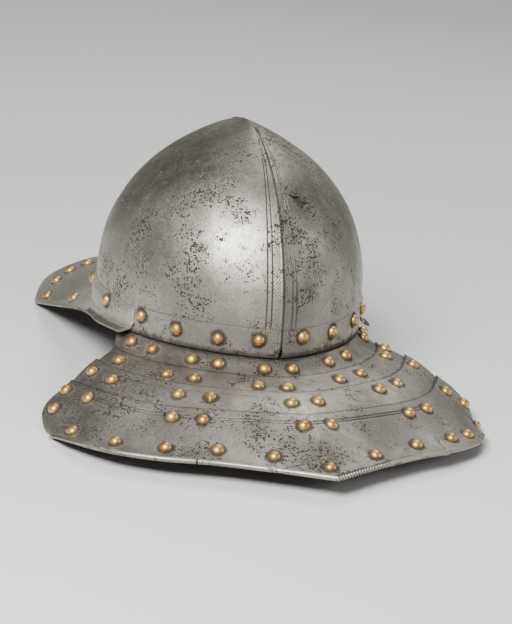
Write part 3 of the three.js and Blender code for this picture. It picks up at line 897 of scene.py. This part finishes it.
PEAK_COLUMNS = 220
MM_ALONG_PEAK = 260
MM_ACROSS_PEAK = 60
FLANGE_FEATHER = 7.0
FEATHER_DEPTH = 1.9
FEATHER_THINNEST = 0.2
SIDE_ROLL = (0.43, 0.69)
SIDE_ROLL_RADIUS = 1.8
SIDE_ROLL_LENGTH = 125.0
SIDE_ROLL_WALL = 0.6
SIDE_ROPE_PITCH = 5.0
SIDE_ROPE_DEPTH = 0.7
SIDE_ROPE_SLANT = 1.2


def peak_sheet(station, down):
    top = mix(PEAK_TOP, PEAK_TOP_AT_END, np.abs(station) ** 4)
    flange = peak_flange(station, mix(PEAK_BEND, top, np.clip(-down, 0, 1)))
    return np.where(down[..., None] < 0, flange, peak_point(station, np.maximum(down, 0)))


def peak():
    across = np.linspace(-1, 1, PEAK_COLUMNS)
    flange, bend, bill = np.linspace(-1, 0, 14), np.linspace(0, 0.12, 8), np.linspace(0.12, 1, 30)
    down = np.concatenate([flange[:-1], bend[:-1], bill])

    def feathered(station, down):
        """1 at the flange's upper and end edges, which are hammered thin onto the bowl."""
        height = (down + 1) * (PEAK_TOP - PEAK_BEND)
        to_end = (1 - np.abs(station)) * MM_ALONG_PEAK
        return fade(np.minimum(height, to_end), 0, FLANGE_FEATHER) * smoothstep(-down, 0.02, 0.2)

    def relief(station, down, points):
        waves = hammered(points, *PEAK_WAVES) * smoothstep(down, 0.05, 0.25) * fade(down, 0.9, 1)
        return waves - FEATHER_DEPTH * feathered(station, down)

    def marks(station, down, points):
        to_rim = (1 - down) * MM_ACROSS_PEAK
        to_end = (1 - np.abs(station)) * MM_ALONG_PEAK
        # The bill's narrow sides are browned and its bend darkened: rust and dirt with painted shade; it is a
        # little darker near its rim
        rust_and_shade = smoothstep(down, 0.12, 0.5) * smoothstep(np.abs(station), 0.66, 0.74)
        at_bend = fade(np.abs(down), 0, 0.1)
        return plate_marks(
            points,
            near_lap=np.maximum.reduce([0.45 * at_bend, 0.8 * rust_and_shade, 0.3 * (to_rim < 4)]),
            near_edge=fade(np.where(down > 0, np.minimum(to_rim, to_end), 9), 0.4, 1.8),
        )

    obj = raised_sheet("peak", peak_sheet, across, down, relief, up_and_out, marks)
    thin = feathered(*np.meshgrid(across, down))
    return thickened(obj, PEAK_THICKNESS, thin=thin, thinnest=FEATHER_THINNEST)


def side_roll(side):
    """The roped roll along one side of the bill, open at its back end."""
    start, stop = SIDE_ROLL
    turns = SIDE_ROLL_LENGTH / SIDE_ROPE_PITCH / (stop - start) * 2 * math.pi

    def radius_at(station, angle):
        slim = mix(0.55, 1, smoothstep(station, start, start + 0.05))
        cut = SIDE_ROPE_DEPTH * rope(station * turns + SIDE_ROPE_SLANT * angle)
        return SIDE_ROLL_RADIUS * slim - cut * smoothstep(stop - station, 0.004, 0.012)

    # The rope's cuts are painted dark: painted shade in the recesses, with dirt
    def cut_at(station, angle):
        return smoothstep(np.cos(station * turns + SIDE_ROPE_SLANT * angle), 0.4, 1)

    def edge(station, out):
        return peak_point(side * station, out)

    along = np.linspace(start, stop, 240)
    stand = SIDE_ROLL_RADIUS - PEAK_THICKNESS
    obj = rolled_edge("side_roll", edge, (0.004, 0.94), stand, along, radius_at, cut_at, 0.7)
    apply(obj, "SOLIDIFY", thickness=SIDE_ROLL_WALL * MM, offset=-1.0)
    bpy.ops.object.shade_smooth()
    return obj


# Rivets: a domed brass cap outside, a shank through the plates and a peened end inside

CAP_FOOT = 0.35
SHANK_RADIUS = 1.4
SHANK_LENGTH = 3.4
SHORT_SHANK = 0.45
PEENED_END = 0.9
PEENED_SHARE = 0.6


def cap_pattern():
    """One rivet, standing on its foot at the origin."""
    deselect()
    bpy.ops.mesh.primitive_uv_sphere_add(segments=20, ring_count=12, radius=CAP_RADIUS * MM)
    obj = bpy.context.object
    edit()
    bpy.ops.mesh.bisect(plane_co=(0, 0, 0), plane_no=(0, 0, 1), clear_inner=True, use_fill=False)
    bpy.ops.mesh.select_all(action="SELECT")
    bpy.ops.transform.resize(value=(1, 1, CAP_HEIGHT / CAP_RADIUS))
    bpy.ops.mesh.select_all(action="DESELECT")
    bpy.ops.mesh.select_non_manifold()
    bpy.ops.mesh.extrude_region_move(TRANSFORM_OT_translate={"value": (0, 0, -CAP_FOOT * MM)})
    bpy.ops.mesh.edge_face_add()
    bpy.ops.mesh.inset(thickness=(CAP_RADIUS - SHANK_RADIUS) * MM)
    bpy.ops.mesh.extrude_region_move(TRANSFORM_OT_translate={"value": (0, 0, -SHANK_LENGTH * MM)})
    bpy.ops.mesh.extrude_region_move(TRANSFORM_OT_translate={"value": (0, 0, -PEENED_END * MM)})
    bpy.ops.transform.resize(value=(PEENED_SHARE, PEENED_SHARE, 1))
    leave_edit(outwards=True)
    return obj


def worn(co, draw, crushed, drawn_out, short):
    """Each cap differs a little: hammered off true, dented, here and there crushed or drawn out."""
    x, y, z = co.T / MM
    up = np.clip(z / CAP_HEIGHT, 0, 1)
    lean = draw.normal(0, 0.12, 2)
    x, y = x + lean[0] * up, y + lean[1] * up
    for _ in range(3):
        way = unit(np.array([*draw.normal(0, 0.6, 2), 1.0]))
        evened = np.stack([x, y, z * CAP_RADIUS / CAP_HEIGHT], -1)
        depth = evened @ way - draw.uniform(0.96, 1.0) * CAP_RADIUS
        z = z - np.clip(depth, 0, 1) * 0.3 * way[2]
    z = np.where(z > 0, z * draw.uniform(0.9, 1.08), z)
    if short:
        z = np.where(z < -CAP_FOOT, (z + CAP_FOOT) * SHORT_SHANK - CAP_FOOT, z)
    girth = draw.uniform(0.95, 1.06)
    x, y = x * girth, y * girth
    if crushed:
        z = np.where(z > 1.8, 1.8 + (z - 1.8) * 0.7, z)
        z = z - 0.9 * (z > 0.4) * np.exp(-((x - 0.6) ** 2 + (y + 0.3) ** 2) / 1.1)
    if drawn_out:
        y = y - np.clip(-y, 0, 9) * 0.35 * (z > -1)
        x = np.where(y < 0, x * (1 - 0.12 * np.clip(-y, 0, 4)), x)
    return np.stack([x, y, z], -1) * MM


# Caps that were crushed, and one whose edge was drawn out
CRUSHED = ("rivet_lame_2_04", "rivet_lame_2_05", "rivet_skull_06")
DRAWN_OUT = ("rivet_lame_3_04",)
CAP_SEED = 40


def rivet_caps(material):
    pattern = cap_pattern()
    draw = np.random.default_rng(CAP_SEED)
    for k, (node, point, normal) in enumerate(RIVETS):
        take(pattern)
        bpy.ops.object.duplicate()
        cap = bpy.context.object
        cap.name = cap.data.name = f"cap_{node}" if node else f"border_cap_{k:02d}"
        co = corners_of(cap).reshape(-1, 3)
        shaped = worn(co, draw, node in CRUSHED, node in DRAWN_OUT, node is None)
        cap.data.vertices.foreach_set("co", shaped.reshape(-1))
        paint(cap, "foot", fade(shaped[:, 2] / MM, -0.1, 0.9))
        on_bowl = node and node.startswith("rivet_skull")
        placed = leaning(point) if on_bowl else point
        cap.data.transform(standing_on(placed, normal) @ Matrix.Rotation(draw.uniform(-0.4, 0.4), 4, "Z"))
        take(cap)
        bpy.ops.object.shade_smooth_by_angle(angle=BROKEN_EDGE)
        finish(cap, material, "rivet_brass", *([node] if node else []))
    take(pattern)
    bpy.ops.object.delete()


# Materials


class Nodes:
    """Adds nodes to one tree, with their inputs linked or set as they are added."""

    def __init__(self, tree):
        self.tree = tree

    def add(self, kind, inputs=None, **settings):
        node = self.tree.nodes.new(kind)
        for key, value in settings.items():
            setattr(node, key, value)
        for key, value in (inputs or {}).items():
            self.put(value, node.inputs[key])
        return node

    def put(self, value, socket):
        if isinstance(value, bpy.types.NodeSocket):
            self.tree.links.new(value, socket)
        else:
            socket.default_value = value

    def math(self, operation, a, b=0.0, clamp=False):
        return self.add("ShaderNodeMath", {0: a, 1: b}, operation=operation, use_clamp=clamp).outputs[0]

    def times(self, a, b):
        return self.math("MULTIPLY", a, b)

    def most(self, a, b):
        return self.math("MAXIMUM", a, b)

    def total(self, start, *parts):
        """The start and a share of each part."""
        for value, share in parts:
            start = self.math("ADD", start, self.times(value, share))
        return start

    def band(self, value, low, high, to_low=0.0, to_high=1.0):
        inputs = {"Value": value, "From Min": low, "From Max": high, "To Min": to_low, "To Max": to_high}
        return self.add("ShaderNodeMapRange", inputs, interpolation_type="SMOOTHSTEP").outputs["Result"]

    def blend(self, factor, a, b, way="MIX"):
        inputs = {0: factor, 6: a, 7: b}
        return self.add("ShaderNodeMix", inputs, data_type="RGBA", blend_type=way).outputs[2]

    def layers(self, colour, *over):
        """A colour with others laid over it in turn, each by where it lies and how strongly."""
        for mask, share, tint in over:
            colour = self.blend(self.times(mask, share), colour, tint)
        return colour

    def noise(self, coordinates, size, detail=4.0, roughness=0.55, distortion=0.0):
        inputs = {
            "Vector": coordinates, "Scale": 1 / (size * MM), "Detail": detail,
            "Roughness": roughness, "Distortion": distortion,
        }
        return self.add("ShaderNodeTexNoise", inputs).outputs["Fac"]

    def place(self):
        return self.add("ShaderNodeTexCoord").outputs["Object"]

    def mark(self, name):
        return self.add("ShaderNodeAttribute", attribute_name=name, attribute_type="GEOMETRY").outputs["Fac"]


def new_group(name, inputs, outputs):
    """A shader node group: inputs holds a value for each name, Place being a vector, and outputs names."""
    tree = bpy.data.node_groups.new(name, "ShaderNodeTree")
    for label, value in inputs.items():
        kind = "Vector" if label == "Place" else "Color" if isinstance(value, tuple) else "Float"
        socket = tree.interface.new_socket(label, in_out="INPUT", socket_type=f"NodeSocket{kind}")
        socket.default_value = value
    for label in outputs:
        kind = "Color" if label == "Colour" else "Float"
        tree.interface.new_socket(label, in_out="OUTPUT", socket_type=f"NodeSocket{kind}")
    nodes = Nodes(tree)
    return nodes, nodes.add("NodeGroupInput").outputs, nodes.add("NodeGroupOutput").inputs


# Sizes of the rust pits in millimetres, and how much sparser each size is
PIT_SIZES = [(2.9, 0.5), (1.9, 0.2), (1.3, -0.2)]
# How far noise shifts the pits off round, in metres
PIT_SHIFT = 0.0009
# What the steel group gives, in the order in which put_on takes it
FACE = ("Colour", "Roughness", "Metal", "Height")


def pitting_group():
    """Small round rust pits, thick in some places and missing in others."""
    nodes, given, out = new_group("pitting", {"Place": (0, 0, 0), "Size": 1.0, "Amount": 0.4}, ["Pits"])
    cluster_noise = nodes.noise(given["Place"], 24, detail=5, roughness=0.7)
    threshold = nodes.total(0.66, (given["Amount"], -0.34))
    cluster = nodes.band(cluster_noise, threshold, nodes.math("ADD", threshold, 0.2))
    warp = nodes.add("ShaderNodeTexNoise", {"Vector": given["Place"], "Scale": 900.0, "Detail": 2.0})
    shift = {0: warp.outputs["Color"], 1: (PIT_SHIFT, PIT_SHIFT, PIT_SHIFT)}
    shift = nodes.add("ShaderNodeVectorMath", shift, operation="MULTIPLY").outputs[0]
    place = nodes.add("ShaderNodeVectorMath", {0: given["Place"], 1: shift}, operation="ADD").outputs[0]
    scale = nodes.math("DIVIDE", 1 / MM, given["Size"])
    cells = nodes.add("ShaderNodeTexVoronoi", {"Vector": place, "Scale": scale, "Randomness": 1.0})
    chance = nodes.add("ShaderNodeSeparateColor", {"Color": cells.outputs["Color"]}).outputs["Red"]
    radius = nodes.times(nodes.times(chance, cluster), 0.74)
    pits = nodes.band(nodes.math("SUBTRACT", radius, cells.outputs["Distance"]), -0.06, 0.12)
    nodes.put(nodes.times(pits, nodes.band(chance, 0.45, 0.65)), out["Pits"])
    return nodes.tree


# The inside faces and broken edges are painted near black: rust, and painted shade of the dark inside
INSIDE_RUST_AND_SHADE = (0.04, 0.027, 0.018, 1)
DARK_GRAIN = (0.45, 0.44, 0.42, 1)
BRIGHT_EDGE = (0.6, 0.58, 0.54, 1)


def old_steel_group(pitting):
    """Worn bright steel: soft stains, brown dirt and painted shade in its joints and grooves, rust pits,
    bright edges and scratches.
    """
    nodes, given, out = new_group(
        "old_steel",
        {
            "Bright": (0.45, 0.425, 0.375, 1), "Dull": (0.25, 0.236, 0.205, 1),
            "Brown": (0.022, 0.015, 0.01, 1), "Green": (0.2, 0.2, 0.13, 1),
            "Polish": 0.33, "Pitted": 0.4, "Stained": 0.4,
        },
        FACE,
    )
    place = nodes.place()
    broad = nodes.noise(place, 60, detail=5, roughness=0.6, distortion=0.3)
    fine = nodes.noise(place, 6, detail=6, roughness=0.65)
    grain = nodes.noise(place, 1.3, detail=4, roughness=0.8)
    dark_grain = nodes.blend(1.0, given["Dull"], DARK_GRAIN, "MULTIPLY")
    stain_noise = nodes.noise(place, 26, detail=6, roughness=0.68, distortion=0.6)
    stain_low = nodes.total(0.72, (given["Stained"], -0.25))
    stain = nodes.band(stain_noise, stain_low, nodes.math("ADD", stain_low, 0.2))
    # Painted shade with dirt: the steel is darkened brown along its laps, seams and creases and round the
    # rivets' feet
    at_rivets = nodes.times(nodes.mark("near_rivet"), 0.85)
    joint = nodes.most(nodes.mark("near_lap"), at_rivets)
    ragged = nodes.total(joint, (nodes.math("SUBTRACT", fine, 0.5), 1.1))
    dirt_and_shade = nodes.times(nodes.band(ragged, 0.2, 0.8), nodes.band(joint, 0.02, 0.3))
    rust = nodes.mark("rusted")
    thickly = nodes.total(given["Pitted"], (rust, 0.6))
    pits = 0.0
    for size, less in PIT_SIZES:
        inputs = {"Place": place, "Size": size, "Amount": nodes.math("SUBTRACT", thickly, less)}
        group = nodes.add("ShaderNodeGroup", inputs, node_tree=pitting)
        pits = nodes.most(group.outputs["Pits"], pits)
    edge = nodes.times(nodes.mark("near_edge"), nodes.band(fine, 0.3, 0.6, 0.4, 1.0))
    edge = nodes.times(edge, nodes.total(1.0, (dirt_and_shade, -0.6)))
    inside = nodes.band(nodes.mark("inside"), 0.7, 1.0)
    colour = nodes.layers(
        nodes.blend(nodes.band(broad, 0.35, 0.65), given["Bright"], given["Dull"]),
        (nodes.band(fine, 0.35, 0.75), 0.4, given["Dull"]),
        (nodes.band(grain, 0.42, 0.68), 0.6, dark_grain),
        (stain, 0.55, given["Green"]),
        (dirt_and_shade, 0.85, given["Brown"]),
        # Grooves, cuts, cracks and lap edges are darkened: dirt and painted shade in the recesses
        (nodes.mark("groove"), 0.6, given["Brown"]),
        (rust, 0.5, dark_grain),
        (pits, 0.95, given["Brown"]),
        (edge, 0.5, BRIGHT_EDGE),
        (inside, 0.88, nodes.blend(fine, given["Brown"], INSIDE_RUST_AND_SHADE)),
    )
    rough = nodes.total(
        given["Polish"],
        (nodes.band(fine, 0.3, 0.8), 0.16),
        (dirt_and_shade, 0.35),
        (nodes.most(pits, rust), 0.25),
        (stain, 0.12),
        (edge, -0.1),
        (inside, 0.22),
    )
    rough = nodes.math("ADD", rough, 0.0, clamp=True)
    metal = nodes.total(1.0, (nodes.most(dirt_and_shade, pits), -0.6))
    scratches = 0.0
    for turn in ((0.3, 0.5, 0.9), (1.2, 0.2, 2.1)):
        spun = nodes.add("ShaderNodeMapping", {"Vector": place, "Rotation": turn, "Scale": (1.0, 0.03, 1.0)})
        lines = nodes.noise(spun.outputs[0], 0.6, detail=2)
        scratches = nodes.most(nodes.band(lines, 0.68, 0.78), scratches)
    spun = nodes.add("ShaderNodeMapping", {"Vector": place, "Rotation": (0.0, 0.7, 0.0)}).outputs[0]
    strokes = {"Vector": spun, "Scale": 210.0, "Distortion": 1.2, "Detail": 2.0}
    strokes = nodes.add("ShaderNodeTexWave", strokes).outputs["Fac"]
    height = nodes.total(
        0.0,
        (nodes.times(strokes, nodes.mark("file_marks")), 0.06),
        (grain, 0.04),
        (broad, 0.3),
        (nodes.noise(place, 15, detail=2), 0.1),
        (fine, 0.05),
        (pits, -0.2),
        (scratches, -0.012),
    )
    for label, value in zip(FACE, (colour, rough, metal, height)):
        nodes.put(value, out[label])
    return nodes.tree


def new_material(name):
    material = bpy.data.materials.new(name)
    material.use_nodes = True
    material.node_tree.nodes.clear()
    return material, Nodes(material.node_tree)


def put_on(nodes, colour, roughness, metal, height):
    bump = nodes.add("ShaderNodeBump", {"Height": height, "Distance": MM, "Strength": 1.0})
    inputs = {"Base Color": colour, "Roughness": roughness, "Metallic": metal, "Normal": bump.outputs[0]}
    shader = nodes.add("ShaderNodeBsdfPrincipled", inputs)
    nodes.add("ShaderNodeOutputMaterial", {"Surface": shader.outputs[0]})


def steel(name, group, **looks):
    """A steel face; looks sets the group's own inputs by name."""
    material, nodes = new_material(name)
    face = nodes.add("ShaderNodeGroup", looks, node_tree=group)
    put_on(nodes, *[face.outputs[label] for label in FACE])
    return material


BRASS = (0.62, 0.44, 0.18, 1)
BRASS_DARK = (0.54, 0.33, 0.13, 1)
TARNISH = (0.16, 0.1, 0.05, 1)
FOOT_DIRT_AND_SHADE = (0.045, 0.028, 0.014, 1)


def old_brass():
    material, nodes = new_material("old_brass")
    place = nodes.place()
    patches = nodes.noise(place, 9, detail=4)
    spots = nodes.noise(place, 1.1, detail=4, roughness=0.7)
    tarnish = nodes.band(spots, 0.6, 0.8)
    # Each cap's foot is darkened: dirt and painted contact shadow
    foot = nodes.band(nodes.total(nodes.mark("foot"), (spots, 0.3)), 0.45, 1.1)
    colour = nodes.layers(
        nodes.blend(nodes.band(patches, 0.35, 0.65), BRASS, BRASS_DARK),
        (tarnish, 0.45, TARNISH),
        (foot, 0.85, FOOT_DIRT_AND_SHADE),
    )
    rough = nodes.total(0.44, (nodes.most(tarnish, foot), 0.2))
    metal = nodes.total(1.0, (foot, -0.5))
    height = nodes.times(nodes.noise(place, 2.2, detail=2), 0.03)
    put_on(nodes, colour, rough, metal, height)
    return material


PALE = (0.8, 0.8, 0.79, 1)
PALE_GREY = (0.76, 0.76, 0.75, 1)


def pale_floor():
    material, nodes = new_material("pale_floor")
    place = nodes.place()
    shade = nodes.noise(place, 700, detail=2)
    colour = nodes.blend(nodes.band(shade, 0.3, 0.7), PALE, PALE_GREY)
    put_on(nodes, colour, 0.75, 0.0, nodes.times(nodes.noise(place, 2), 0.02))
    return material


# Camera, light and floor, round the photographed view from behind and a little to the left

CAMERA_AROUND = 20.3
CAMERA_LIFT = 15.0
CAMERA_ROLL = 5.1
CAMERA_DISTANCE = 1615.0
CAMERA_HEIGHT = 11.4
CAMERA_ASIDE = (-19.95, 11.02)
LENS = 131.76
SENSOR = 36.0
KEY_TOWARDS = (0.4997, 0.6153, 0.6105)
HELMET_MIDDLE = Vector((0, 0.02, 0.09))


def set_up(name, data, place):
    """Puts a camera or a light at its place."""
    obj = bpy.data.objects.new(name, data)
    obj.matrix_world = place
    bpy.context.collection.objects.link(obj)
    return obj


def camera():
    around, lift, roll = np.radians([CAMERA_AROUND, CAMERA_LIFT, CAMERA_ROLL])
    back = np.array([math.sin(around) * math.cos(lift), math.cos(around) * math.cos(lift), math.sin(lift)])
    level = np.array([-math.cos(around), math.sin(around), 0.0])
    above = np.cross(back, level)
    right = level * math.cos(roll) + above * math.sin(roll)
    up = above * math.cos(roll) - level * math.sin(roll)
    place = back * CAMERA_DISTANCE - right * CAMERA_ASIDE[0] - up * CAMERA_ASIDE[1] + [0, 0, CAMERA_HEIGHT]
    lens = bpy.data.cameras.new("camera")
    lens.lens = LENS
    lens.sensor_width = lens.sensor_height = SENSOR
    lens.sensor_fit = "VERTICAL"
    lens.clip_start = 0.05
    turn = Matrix([turned(right), turned(up), turned(back)]).transposed().to_4x4()
    turn.translation = Vector(in_row(place))
    bpy.context.scene.camera = set_up("camera", lens, turn)


def soft_light(name, towards, distance, size, power):
    light = bpy.data.lights.new(name, "AREA")
    light.shape = "RECTANGLE"
    light.size, light.size_y = size
    light.energy = power
    way = Vector(towards).normalized()
    facing = way.to_track_quat("Z", "Y").to_matrix().to_4x4()
    set_up(name, light, Matrix.Translation(HELMET_MIDDLE + way * distance) @ facing)


def studio():
    soft_light("key", turned(np.array(KEY_TOWARDS)), 1.5, (0.6, 0.55), 43)
    soft_light("side", (-0.9, 0.34, 0.3), 1.8, (0.5, 0.5), 7)
    soft_light("top", (-0.36, -0.4, 0.84), 2.2, (1.1, 1.1), 22)
    soft_light("front", (0.75, -0.55, 0.25), 2.2, (1.2, 1.2), 1.5)
    world = bpy.data.worlds.new("studio")
    world.use_nodes = True
    bpy.context.scene.world = world
    background = world.node_tree.nodes["Background"].inputs
    background["Color"].default_value = (0.95, 0.94, 0.92, 1)
    background["Strength"].default_value = 0.25
    deselect()
    bpy.ops.mesh.primitive_plane_add(size=10, location=(0, 0, 0))
    floor = bpy.context.object
    floor.name = floor.data.name = "floor"
    floor.data.materials.append(pale_floor())


# The whole helmet

pitting = pitting_group()
old_steel = old_steel_group(pitting)
bowl_steel = steel("bowl_steel", old_steel, Polish=0.38, Pitted=0.5, Stained=0.35)
guard_steel = steel("guard_steel", old_steel, Polish=0.42, Pitted=0.52, Stained=0.5)
pale, dull = (0.52, 0.51, 0.45, 1), (0.38, 0.37, 0.32, 1)
peak_steel = steel("peak_steel", old_steel, Bright=pale, Dull=dull, Polish=0.5, Pitted=0.4, Stained=0.6)
brass = old_brass()

left_half = thickened(nape_hole(bowl_half("skull_left_raised", LEFT)), BOWL_THICKNESS, edge=0.2)
right_half = thickened(torn_hole(bowl_half("skull_right_raised", RIGHT)), BOWL_THICKNESS, edge=0.2)
finish(left_half, bowl_steel, "bowl_steel", "skull_left")
finish(right_half, bowl_steel, "bowl_steel", "skull_right")
lames = [lame(index) for index in range(len(LAME_TOP))]
lames[-1] = joined(lames[-1], rolled_rim())
for index, plate in enumerate(lames):
    finish(plate, guard_steel, "guard_steel", f"lame_{index + 1}")
bill = joined(peak(), side_roll(LEFT), side_roll(RIGHT))
finish(bill, peak_steel, "peak_steel", "peak")
rivet_caps(brass)

studio()
camera()
